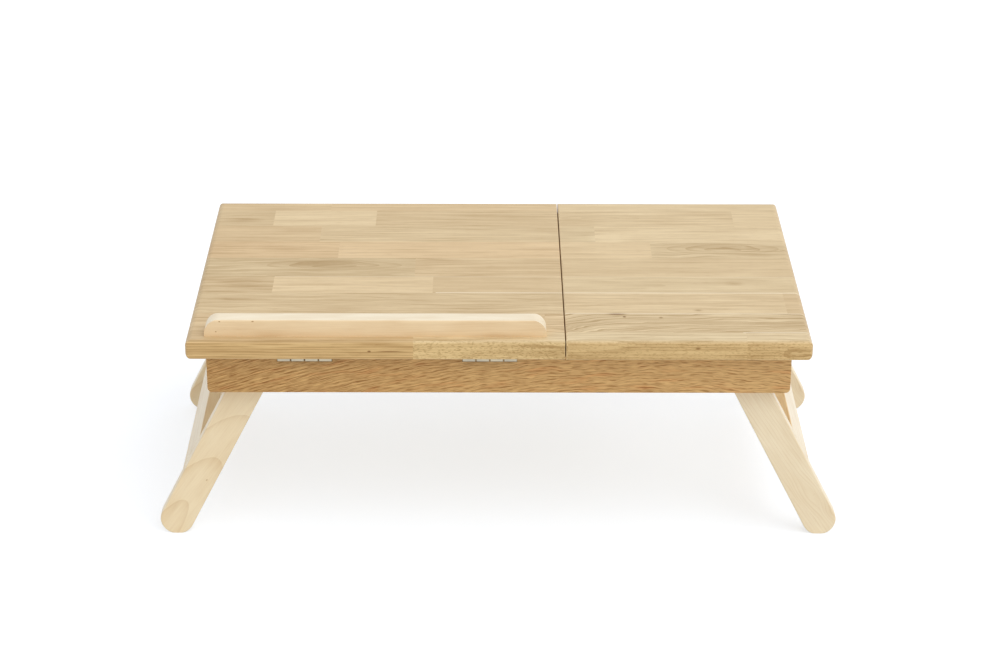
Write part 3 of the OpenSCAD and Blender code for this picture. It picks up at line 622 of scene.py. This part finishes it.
def glue_lines(recipe, x, y):
    """Pale lines where some strips meet, from 0 to 1."""
    lines = 0.0
    for place, left, strength in GLUE_LINES:
        near = recipe.maths("COMPARE", y, place, GLUE_LINE_MM / 2)
        lines = near * (x > left) * strength + lines
    return lines


def climb(recipe, x, y):
    """How far the rings of the climbing stave have risen: height * (1 - e^(-x / length))."""
    inside = (x > CLIMB.left) * (y < CLIMB.upper) * (y > CLIMB.lower)
    return inside * (1.0 - recipe.maths("EXPONENT", (CLIMB.left - x) / CLIMB.length)) * CLIMB.height


def edge_pores(recipe, own, swirl):
    """Pores on the top's front and rear edges, from 0 to about 1."""
    bend = streaks(recipe, own, EDGE.bend) * EDGE.bend_mm
    layer = ring_line(recipe, (own[2] + bend) / EDGE.layer_mm, EDGE.sharpness)
    long_pores = layer * patches(recipe, own, EDGE.long_pores) * (EDGE.long_share - swirl)
    return long_pores + patches(recipe, own, EDGE.dots) * swirl * EDGE.dot_share


def oak_top():
    """Pale oak in butt-jointed staves, under a satin finish."""
    chosen = finishes()
    material, recipe = new_material("oak_top")
    fixed_low, fixed_high = node_box_mm("fixed_board")
    place = place_in_wood(recipe, (0, 0, fixed_high.z), grain_axes(ALONG_X, ALONG_Y))
    x, y, _ = place
    (shade, warmth, swirl), chance = stave_facts(recipe, x, y)
    side_x, side_y, _ = facing(recipe)
    long_grain = 1.0 - recipe.between(*TOP.end_turn, side_x) * TOP.end_fade

    # The grain's own places: parted round knots, risen and waved, and moved for each stave
    (_, parted, deep), knots = part_grain(recipe, place, TOP_KNOTS)
    wave = streaks(recipe, place, TOP.wave) * (swirl * TOP.swirl_wave_mm + TOP.wave_mm)
    risen = climb(recipe, x, y)
    side = parted - risen + wave
    along_move, across_move = TOP.chance_move_mm
    own = (x + chance[0] * along_move, side + chance[1] * across_move, deep)

    # Lines of the rings
    heart = [
        (part - 0.5) * spread + middle
        for part, spread, middle in zip(chance, TOP.heart_spread_mm, TOP.heart_middle_mm)
    ]
    phase = rings(recipe, (x, side, deep), heart, TOP.rings)
    faded = patches(recipe, own, TOP.ring_fade) * long_grain
    line = ring_line(recipe, phase, TOP.ring_sharpness) * faded
    climbing = ring_line(recipe, side / CLIMB.spacing, CLIMB.sharpness) * (risen > 0.0)
    hearts = ovals(recipe, x, parted + wave * TOP.oval_wave, TOP_OVALS)
    figure = (climbing * CLIMB.dark + hearts) * long_grain

    # Streaks, clouds and pores
    liveliness = chance[1] * TOP.chance_lively + swirl * TOP.swirl_lively + TOP.lively
    fine = streaks(recipe, own, TOP.fine) * liveliness * long_grain
    broad = streaks(recipe, own, TOP.broad) * liveliness * long_grain
    cloud = streaks(recipe, own, TOP.cloud)
    pores = patches(recipe, own, TOP.pores)

    dark = shade * TOP.shade_dark + line * (swirl * TOP.swirl_ring_dark + TOP.ring_dark)
    dark = dark + figure + fine + broad * TOP.broad_dark + cloud * TOP.cloud_dark + knots
    dark = dark + side_y * edge_pores(recipe, own, swirl) * TOP.edge_dark
    dark = dark + side_x * TOP.end_dark + TOP.base_dark
    tone = wood_tone(recipe, dark, chosen.oak_pale, chosen.oak_deep, knots)
    pinkness = warmth * (TOP.pink_share - (x > fixed_low.x) * TOP.fixed_pink_loss)
    pink = recipe.tint(pinkness, tone, chosen.oak_pink)
    pored = recipe.blend(pores * TOP.pore_share, pink, opaque(chosen.oak_pores))
    glued = recipe.blend(glue_lines(recipe, x, y), pored, opaque(chosen.glue))
    # Painted warm light on faces that turn forward or back
    edge_lit = recipe.tint(side_y ** TOP.edge_light_power, glued, chosen.edge_painted_light)
    colour = recipe.tint(recipe.between(*TOP.end_tint_turn, side_x), edge_lit, chosen.end_tint)
    height = 1.0 - pores * TOP.pore_depth - line * TOP.ring_depth
    recipe.surface({
        "Base Color": colour,
        "Roughness": fine * TOP.fine_roughness + TOP.roughness,
        "Normal": recipe.bump(height, TOP.bump_strength, TOP.bump_mm),
    })
    return material


# ---- The rails' oak ----

# For part_grain, from the rail's middle
RAIL_KNOTS = (
    (108, 12, 7, 5, 3, 0.6, 0.25),
    (150, -12, 0, 60, 7, 0.4, -0.15),
)

# The rails' figure, named as the top's is. Their grain climbs from one end and is about level
# at the other: the rise at u mm from the middle is slope * u - curve * u^2.
RAIL = SimpleNamespace(
    half_mm=270.0,
    slope=0.12,
    curve=0.0004,
    wave=Streak(34.0, 13.0),
    wave_mm=1.2,
    level_wave_mm=4.0,
    dashes=Patch(11.0, 0.9, -0.12, 0.2, 1.0),
    pale=Patch(18.0, 1.0, 0.0, 0.3, 1.0),
    pale_move_mm=500.0,  # away from the dashes' noise
    red=Patch(40.0, 5.0, 0.05, 0.5),
    red_move_mm=900.0,
    broad=Streak(70.0, 3.6, 1.0),
    cloud=Streak(110.0, 20.0),
    jitter=Streak(30.0, 4.0),
    jitter_mm=1.2,
    line_mm=3.1,
    line_tilt=0.7,  # how the lines run into the depth
    line_sharpness=1.8,
    base_dark=0.32,
    line_dark=0.22,
    dash_line_dark=0.35,
    dash_dark=0.26,
    pale_dark=-0.3,
    broad_dark=0.18,
    cloud_dark=0.12,
    level_dark=-0.3,  # at the level end
    red_share=0.5,
    amber_share=0.6,
    roughness=0.52,
    dash_roughness=0.12,
    bump_strength=0.35,
    bump_mm=0.3,
)


def oak_rail(name, node, along=ALONG_X, across=UPRIGHT):
    """Darker oak with grain that climbs from one end and levels out, and coarse dark pores."""
    chosen = finishes()
    material, recipe = new_material(name)
    place = place_in_wood(recipe, middle_mm(node), grain_axes(along, across))
    (u, v, w), knots = part_grain(recipe, place, RAIL_KNOTS)
    level = recipe.clamp((u + RAIL.half_mm) / (RAIL.half_mm * 2))
    rise = u * RAIL.slope - u * u * RAIL.curve
    wave = streaks(recipe, place, RAIL.wave) * (level * RAIL.level_wave_mm + RAIL.wave_mm)
    side = v - rise + wave
    spot = (u, side, w)
    dashes = patches(recipe, spot, RAIL.dashes)
    pale = patches(recipe, (u + RAIL.pale_move_mm, side, w), RAIL.pale)
    red = patches(recipe, (u + RAIL.red_move_mm, side, w), RAIL.red)
    jitter = streaks(recipe, spot, RAIL.jitter) * RAIL.jitter_mm
    phase = (side + jitter + w * RAIL.line_tilt) / RAIL.line_mm
    line = ring_line(recipe, phase, RAIL.line_sharpness)

    dark = line * (dashes * RAIL.dash_line_dark + RAIL.line_dark) + dashes * RAIL.dash_dark
    dark = dark + pale * RAIL.pale_dark + streaks(recipe, spot, RAIL.broad) * RAIL.broad_dark
    dark = dark + streaks(recipe, spot, RAIL.cloud) * RAIL.cloud_dark + knots
    dark = dark + level * RAIL.level_dark + RAIL.base_dark
    tone = recipe.blend(recipe.clamp(dark), opaque(chosen.rail_pale), opaque(chosen.rail_deep))
    warm = recipe.tint(red * RAIL.red_share, tone, chosen.rail_red)
    recipe.surface({
        "Base Color": recipe.tint((1.0 - level) * RAIL.amber_share, warm, chosen.rail_amber),
        "Roughness": dashes * RAIL.dash_roughness + RAIL.roughness,
        "Normal": recipe.bump(1.0 - dashes, RAIL.bump_strength, RAIL.bump_mm),
    })
    return material


# ---- Maple ----

MAPLE_BEND = Streak(40.0, 16.0)


class MapleFigure(NamedTuple):
    """Rings and knots of one kind of maple piece, in its own millimetres from its middle."""

    heart: tuple = (-700.0, 30.0, -8.0)
    rings: Rings = Rings(30.0, 5.0, 2.0, MAPLE_BEND)
    ring_dark: float = 0.3
    knots: tuple = ()


PLAIN_MAPLE = MapleFigure()
STRETCHER_MAPLE = MapleFigure(heart=(-500.0, 20.0, -20.0))
LEDGE_MAPLE = MapleFigure(
    ring_dark=0.1,
    knots=(
        (-142.4, 6.6, 8.5, 1.6, 0.9, 0.0, 1.0),
        (-112, 6.8, 8.5, 1.8, 0.9, 0.0, 1.1),
        (-146, -3.5, 8.5, 1.2, 0.9, 0.0, 1.0),
        (-95, -6, 8.5, 24, 7, 0.3, 0.25),
        (112, -7, 8.5, 30, 6, 0.3, 0.25),
    ),
)
LEG_MAPLE = {
    "left": MapleFigure(
        (117.0, 10.0, 2.5), Rings(3.7, 14.55, 1.6, MAPLE_BEND), 0.31,
        ((36.4, 13.5, 7.5, 2.0, 1.2, 0.0, 0.6),),
    ),
    "right": MapleFigure(
        (30.0, 60.0, -5.0), Rings(18.0, 3.0, 1.8, MAPLE_BEND), 0.28,
        (
            (60, -4, 7.5, 34, 15, 0.9, 0.06),
            (88, 5, 7.5, 16, 12, 0.8, 0.05),
            (-32, -12.5, 7.5, 3.5, 1.0, 0.3, 0.75),
        ),
    ),
}

# How far the legs' grain leans across them for each millimetre along
LEG_GRAIN_LEAN = {"left": -0.15, "right": 0.12}

# What all maple shares, named as the top's figure is
MAPLE = SimpleNamespace(
    ring_sharpness=7.0,
    fine=Streak(30.0, 1.1),
    cloud=Streak(45.0, 12.0),
    fleck=Patch(4.0, 0.7, 0.3, 0.6, 1.0),
    base_dark=0.12,
    fine_dark=0.2,
    cloud_dark=0.3,
    fleck_dark=0.1,
    painted_light_turn=(0.55, 0.85),  # how square to the axis a face is while its painted light comes in
    roughness=0.48,
    fine_roughness=0.06,
    bump_strength=0.15,
    bump_mm=0.1,
)


def maple(name, node, along, across, figure=PLAIN_MAPLE, tint=None, lit_axis=FACE_Y):
    """Pale, close-grained maple with thin ring lines, and painted warm light as a tint on the faces
    square to one axis.
    """
    chosen = finishes()
    material, recipe = new_material(name)
    place = place_in_wood(recipe, middle_mm(node), grain_axes(along, across))
    spot, knots = part_grain(recipe, place, figure.knots)
    phase = rings(recipe, spot, figure.heart, figure.rings)
    line = ring_line(recipe, phase, MAPLE.ring_sharpness)
    fine = streaks(recipe, spot, MAPLE.fine)
    cloud = streaks(recipe, spot, MAPLE.cloud)
    fleck = patches(recipe, spot, MAPLE.fleck)
    dark = line * figure.ring_dark + fine * MAPLE.fine_dark + cloud * MAPLE.cloud_dark
    dark = dark + fleck * MAPLE.fleck_dark + knots + MAPLE.base_dark
    tone = wood_tone(recipe, dark, chosen.maple_pale, chosen.maple_deep, knots)
    # Painted light: a tint on the faces square to one axis, for the light that falls on them
    share = recipe.between(*MAPLE.painted_light_turn, facing(recipe)[lit_axis])
    recipe.surface({
        "Base Color": recipe.tint(share, tone, tint or chosen.maple_painted_light),
        "Roughness": fine * MAPLE.fine_roughness + MAPLE.roughness,
        "Normal": recipe.bump(fine, MAPLE.bump_strength, MAPLE.bump_mm),
    })
    return material


# ---- Metal ----

METAL = SimpleNamespace(
    drawn=Streak(14.0, 0.35, 1.0),
    cloud=Streak(9.0, 9.0),
    stain_share=0.1,
    cloud_stain_share=0.5,
    drawn_roughness=0.08,
    cloud_roughness=0.05,
    bump_strength=0.1,
    bump_mm=0.1,
)
STEEL_ROUGHNESS = 0.32
HINGE_ROUGHNESS = 0.36
BRASS_ROUGHNESS = 0.3

# Painted shade between the hinges' knuckles, and painted shade and dark reflection on their upper
# and lower faces
KNUCKLES = 4
KNUCKLE_GAP_MM = 0.6
GAP_SHADE_REACH = (1.6, 0.7)  # from unshaded to fully shaded, in gap widths from the gap's middle
FLAT_SHADE_TURN = (0.45, 0.9)  # how far a face turns up or down while its painted shade comes in
FLAT_SHADE_SHARE = 0.7


def metal(name, colour, roughness, painted_shade=None):
    """Plated metal with faint drawn lines along X, slight stains, and painted shade from 0 to 1.

    The painted shade is a function that takes the recipe and the place in millimetres.
    """
    chosen = finishes()
    material, recipe = new_material(name)
    spot = place_in_wood(recipe, (0, 0, 0), grain_axes(ALONG_X, ALONG_Y))
    drawn = streaks(recipe, spot, METAL.drawn)
    cloud = streaks(recipe, spot, METAL.cloud)
    stained = recipe.clamp(cloud * METAL.cloud_stain_share + METAL.stain_share)
    stains_and_shade = recipe.blend(stained, opaque(colour), opaque(chosen.stain))
    # Painted shade between the knuckles and on faces that turn up or down
    if painted_shade:
        stains_and_shade = recipe.blend(painted_shade(recipe, spot), stains_and_shade, opaque(chosen.knuckle_shade_colour))
    uneven = drawn * METAL.drawn_roughness + cloud * METAL.cloud_roughness
    recipe.surface({
        "Base Color": stains_and_shade,
        "Metallic": 1.0,
        "Roughness": uneven + roughness,
        "Normal": recipe.bump(drawn, METAL.bump_strength, METAL.bump_mm),
    })
    return material


def knuckle_painted_shade(recipe, spot):
    """Painted shade: 1 in the gaps between the knuckles of both hinges, and less on what faces up
    or down, for the shadow and dark reflection there.
    """
    length = finishes().hinge_length / MM
    low, high = node_box_mm("hinge_pins")
    low_x = low.x - KNUCKLE_GAP_MM / 2
    high_x = high.x + KNUCKLE_GAP_MM / 2
    x = spot[0]
    start = (x > (low_x + high_x) / 2) * (high_x - length - low_x) + low_x
    pitch = length / KNUCKLES
    turns = recipe.maths("FRACT", (x - start) / pitch + 0.5)
    away = recipe.maths("ABSOLUTE", turns - 0.5) * pitch / KNUCKLE_GAP_MM
    gap = recipe.between(*GAP_SHADE_REACH, away)
    flat = recipe.between(*FLAT_SHADE_TURN, facing(recipe)[FACE_Z]) * FLAT_SHADE_SHARE
    return recipe.clamp(gap + flat)


# ---- Operators ----


class TABLE_OT_camera(bpy.types.Operator):
    """Sets the camera at the viewing angle."""

    bl_idname = "table.camera"
    bl_label = "Camera"

    def execute(self, context):
        chosen = context.scene.table_stage
        yaw, pitch, roll = chosen.camera_turn
        forward = Vector((
            math.sin(yaw) * math.cos(pitch),
            math.cos(yaw) * math.cos(pitch),
            -math.sin(pitch),
        ))
        level = Vector((math.cos(yaw), -math.sin(yaw), 0.0))
        upright = level.cross(forward)
        right = level * math.cos(roll) + upright * math.sin(roll)
        up = upright * math.cos(roll) - level * math.sin(roll)
        data = bpy.data.cameras.new("camera")
        data.sensor_width = SENSOR_MM
        data.lens = chosen.focal_length / IMAGE_WIDTH_PX * SENSOR_MM
        camera = bpy.data.objects.new("camera", data)
        turned = Matrix((right, up, -forward)).transposed().to_4x4()
        camera.matrix_world = Matrix.Translation(chosen.camera_place) @ turned
        context.scene.collection.objects.link(camera)
        context.scene.camera = camera
        return {"FINISHED"}


class TABLE_OT_top(bpy.types.Operator):
    """Finishes the tilting board and the fixed board in pale oak staves."""

    bl_idname = "table.top"
    bl_label = "Boards"

    def execute(self, context):
        assign(oak_top(), "tilt_board", "fixed_board")
        return {"FINISHED"}


class TABLE_OT_ledge(bpy.types.Operator):
    """Finishes the stop ledge in maple."""

    bl_idname = "table.ledge"
    bl_label = "Stop ledge"

    def execute(self, context):
        # Painted warm light on the ledge's front face
        tint = finishes().ledge_painted_light
        wood = maple("maple_ledge", "stop_ledge", ALONG_X, UPRIGHT, LEDGE_MAPLE, tint)
        assign(wood, "stop_ledge")
        return {"FINISHED"}


class TABLE_OT_rails(bpy.types.Operator):
    """Finishes the rails and the drawer front in darker oak."""

    bl_idname = "table.rails"
    bl_label = "Rails and drawer front"

    def execute(self, context):
        for node, along in (
            ("front_rail", ALONG_X),
            ("rear_rail", (-1, 0, 0)),
            ("left_side_rail", ALONG_Y),
            ("right_cross_rail", ALONG_Y),
            ("drawer_front", ALONG_Y),
        ):
            assign(oak_rail("oak_" + node, node, along), node)
        return {"FINISHED"}


def leg_direction(node, sign):
    """Direction down an opened leg, whose box is as wide and tall as a round-ended bar's."""
    low, high = node_box_mm(node)
    width = finishes().leg_width / MM
    run = high.x - low.x - width
    drop = high.z - low.z - width
    return Vector((sign * run, 0.0, -drop)).normalized()


class TABLE_OT_legs(bpy.types.Operator):
    """Finishes the four legs and the two stretchers in maple."""

    bl_idname = "table.legs"
    bl_label = "Legs and stretchers"

    def execute(self, context):
        chosen = finishes()
        # Painted light: each side's legs and stretchers get their own tint for how the light falls
        # on them
        for side, sign, leg_painted_light, stretcher_painted_light in (
            ("left", -1, chosen.maple_painted_light, chosen.maple_painted_light),
            ("right", 1, chosen.right_leg_painted_light, chosen.stretcher_painted_light),
        ):
            down = leg_direction(side + "_front_leg", sign)
            across = Vector((-down.z, 0.0, down.x))
            grain = down + across * LEG_GRAIN_LEAN[side]
            for node in (side + "_front_leg", side + "_rear_leg"):
                wood = maple("maple_" + node, node, grain, across, LEG_MAPLE[side], leg_painted_light)
                assign(wood, node)
            node = side + "_stretcher"
            wood = maple("maple_" + node, node, ALONG_Y, down, STRETCHER_MAPLE,
                         stretcher_painted_light, FACE_Z)
            assign(wood, node)
        return {"FINISHED"}


# Plain maple pieces by how their grain runs: names, along, across
INNER_PARTS = (
    (("drawer_bottom", "base_panel"), ALONG_X, ALONG_Y),
    (("front_guide_rail", "rear_guide_rail", "drawer_near_side", "drawer_far_side"),
     ALONG_X, UPRIGHT),
    (("centre_divider", "drawer_back"), ALONG_Y, UPRIGHT),
    (("left_prop_arm", "right_prop_arm", "left_rack", "right_rack", "left_prop_bracket",
      "right_prop_bracket"), ALONG_Y, UPRIGHT),
    (("prop_crossbar", "prop_foot_bar", "drawer_knob", "frame_dowels", "ledge_dowels",
      "left_stretcher_dowels", "right_stretcher_dowels", "drawer_dowels"), ALONG_X, ALONG_Y),
)


class TABLE_OT_inner(bpy.types.Operator):
    """Finishes the guides, divider, base panel, dowels, prop and drawer box."""

    bl_idname = "table.inner"
    bl_label = "Inner parts"

    def execute(self, context):
        for names, along, across in INNER_PARTS:
            for node in names:
                assign(maple("maple_" + node, node, along, across), node)
        return {"FINISHED"}


HINGE_PARTS = ("hinge_upper_leaves", "hinge_lower_leaves", "hinge_pins")
STEEL_PARTS = (
    "hinge_upper_screws", "hinge_lower_screws", "panel_screws", "board_screws",
    "bracket_screws", "prop_pins", "pivot_bolts", "pivot_washers", "knob_screw",
)


class TABLE_OT_metal(bpy.types.Operator):
    """Finishes the hinges, screws, bolts and inserts in metal."""

    bl_idname = "table.metal"
    bl_label = "Metal parts"

    def execute(self, context):
        chosen = finishes()
        steel = metal("plated_steel", chosen.steel, STEEL_ROUGHNESS)
        # The hinges get painted shade between their knuckles and on their upper and lower faces
        hinges = metal("hinge_steel", chosen.hinge_steel, HINGE_ROUGHNESS, knuckle_painted_shade)
        assign(hinges, *HINGE_PARTS)
        assign(steel, *STEEL_PARTS)
        assign(metal("brass", chosen.brass, BRASS_ROUGHNESS), "thread_inserts")
        return {"FINISHED"}


class TABLE_OT_stage(bpy.types.Operator):
    """Lays the floor and sets the even light and the soft lamp."""

    bl_idname = "table.stage"
    bl_label = "Stage"

    def execute(self, context):
        chosen = context.scene.table_stage
        floor = self.make_floor(chosen)
        context.scene.collection.objects.link(floor)
        self.light_world(context.scene, chosen)
        lamp = bpy.data.lights.new("soft_lamp", "SUN")
        lamp.energy = chosen.lamp_strength
        lamp.angle = chosen.lamp_spread
        soft_lamp = bpy.data.objects.new("soft_lamp", lamp)
        soft_lamp.rotation_euler = Vector(chosen.lamp_from).to_track_quat("Z", "Y").to_euler()
        context.scene.collection.objects.link(soft_lamp)
        context.scene.view_settings.view_transform = "Standard"
        return {"FINISHED"}

    @staticmethod
    def make_floor(chosen):
        """A wide square floor, white from above but for its shadow, and clear from below."""
        half = chosen.floor_half
        low = -chosen.floor_drop
        corners = [(-half, -half, low), (half, -half, low), (half, half, low), (-half, half, low)]
        mesh = bpy.data.meshes.new("floor")
        mesh.from_pydata(corners, [], [(0, 1, 2, 3)])
        material, recipe = new_material("floor")
        seen = recipe.add("ShaderNodeLightPath", out="Is Camera Ray")
        mirrored = recipe.add("ShaderNodeLightPath", out="Is Glossy Ray")
        shown = recipe.maths("MAXIMUM", seen, mirrored)
        plain = recipe.add("ShaderNodeBsdfDiffuse", values={"Color": opaque(chosen.floor)})
        dim = recipe.add("ShaderNodeBsdfDiffuse", values={"Color": opaque(chosen.floor_dim)})
        glow = recipe.add("ShaderNodeEmission", values={"Strength": chosen.floor_glow})
        white = recipe.add("ShaderNodeAddShader", values={0: dim, 1: glow})
        lit = recipe.add("ShaderNodeMixShader", values={0: shown, 1: plain, 2: white})
        below = recipe.add("ShaderNodeNewGeometry", out="Backfacing")
        clear = recipe.add("ShaderNodeBsdfTransparent")
        both = recipe.add("ShaderNodeMixShader", values={0: below, 1: lit, 2: clear})
        recipe.add("ShaderNodeOutputMaterial", values={"Surface": both})
        mesh.materials.append(material)
        return bpy.data.objects.new("floor", mesh)

    @staticmethod
    def light_world(scene, chosen):
        """Even light from all round, at a strength of its own, which the camera sees as white."""
        world = bpy.data.worlds.new("sky")
        scene.world = world
        world.use_nodes = True
        recipe = Recipe(world.node_tree)
        seen = recipe.add("ShaderNodeLightPath", out="Is Camera Ray")
        strength = seen + (1.0 - seen) * chosen.sky_strength
        background = recipe.add("ShaderNodeBackground", values={"Strength": strength})
        recipe.add("ShaderNodeOutputWorld", values={"Surface": background})


class TABLE_PT_parts(bpy.types.Panel):
    """Lists the table's steps and settings."""

    bl_idname = "TABLE_PT_parts"
    bl_label = "Folding laptop table"
    bl_space_type = "VIEW_3D"
    bl_region_type = "UI"
    bl_category = "Table"

    def draw(self, context):
        for step in STEPS:
            self.layout.operator(step.bl_idname)
        for group in (context.scene.table_finishes, context.scene.table_stage):
            for name in type(group).__annotations__:
                self.layout.prop(group, name)


STEPS = (
    TABLE_OT_camera,
    TABLE_OT_top,
    TABLE_OT_ledge,
    TABLE_OT_rails,
    TABLE_OT_legs,
    TABLE_OT_inner,
    TABLE_OT_metal,
    TABLE_OT_stage,
)
CLASSES = (TableFinishes, TableStage, *STEPS, TABLE_PT_parts)


def register():
    """Registers the classes and puts the settings on the scene."""
    for cls in CLASSES:
        bpy.utils.register_class(cls)
    bpy.types.Scene.table_finishes = PointerProperty(type=TableFinishes)
    bpy.types.Scene.table_stage = PointerProperty(type=TableStage)


def unregister():
    """Takes the settings off the scene and drops the classes."""
    del bpy.types.Scene.table_stage
    del bpy.types.Scene.table_finishes
    for cls in reversed(CLASSES):
        bpy.utils.unregister_class(cls)


def main():
    """Runs every step in order."""
    register()
    bpy.ops.table.camera()
    bpy.ops.table.top()
    bpy.ops.table.ledge()
    bpy.ops.table.rails()
    bpy.ops.table.legs()
    bpy.ops.table.inner()
    bpy.ops.table.metal()
    bpy.ops.table.stage()


if __name__ == "__main__":
    main()
